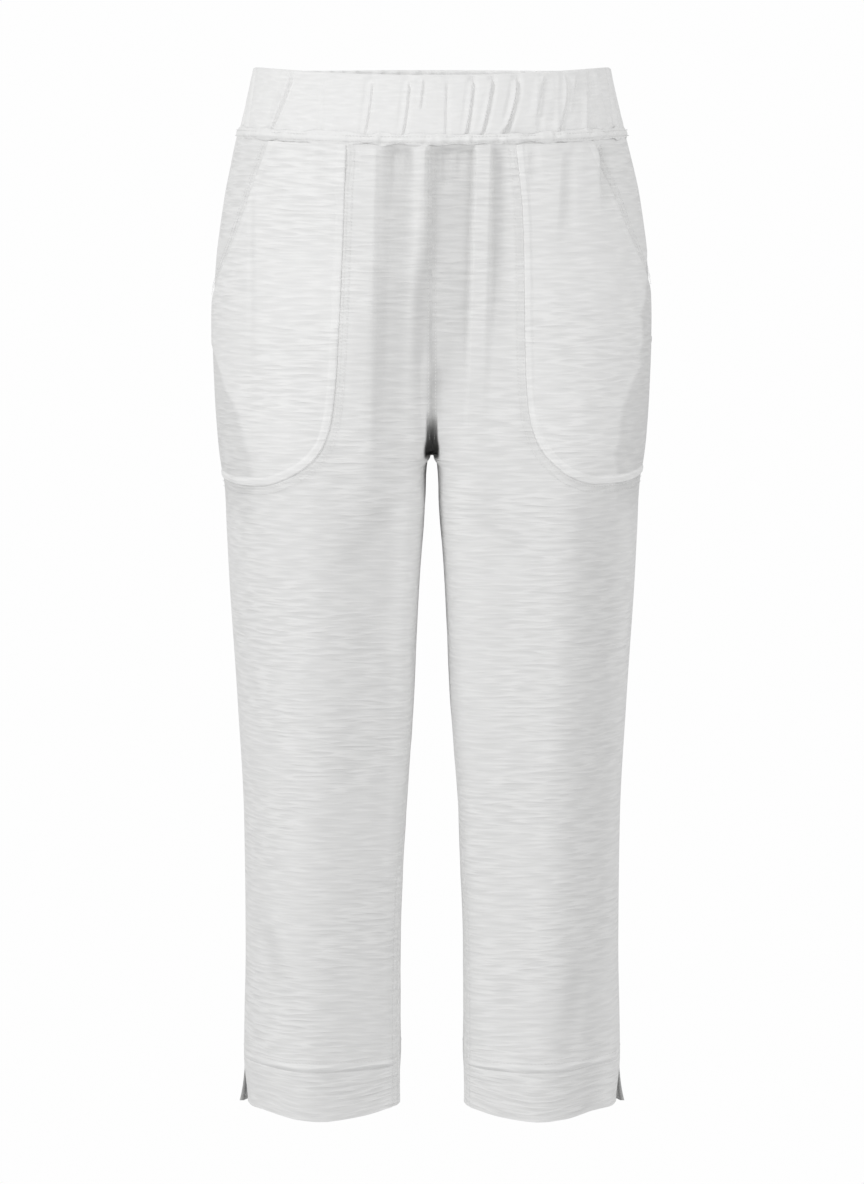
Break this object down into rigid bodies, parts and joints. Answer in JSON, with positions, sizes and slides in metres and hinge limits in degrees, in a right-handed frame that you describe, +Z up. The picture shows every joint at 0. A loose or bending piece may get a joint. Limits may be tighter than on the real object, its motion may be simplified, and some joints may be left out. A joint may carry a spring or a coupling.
{
  "type": "capri pants",
  "caption": "Pull-on capri pants in white slub knit, hollow as worn, with an elastic waist, curved patch pockets and side slits at the hems",
  "frame": {"origin": "The middle of the elastic waistband, on the centre line of the body, where the wearer's waist holds the garment up.", "axes": "+Z up along the body, towards the waist; -Y towards the front of the garment; +X towards the right of someone who looks at the front."},
  "size_m": [0.3846, 0.2522, 0.9095],
  "materials": {
    "slub_knit": "matte white cotton slub jersey"
  },
  "bodies": {
    "root": {"waistband": "slub_knit", "waist_seam": "slub_knit", "front_panel_left": "slub_knit", "front_panel_right": "slub_knit", "back_panel_left": "slub_knit", "back_panel_right": "slub_knit", "pocket_left": "slub_knit", "pocket_right": "slub_knit"}
  },
  "joints": []
}
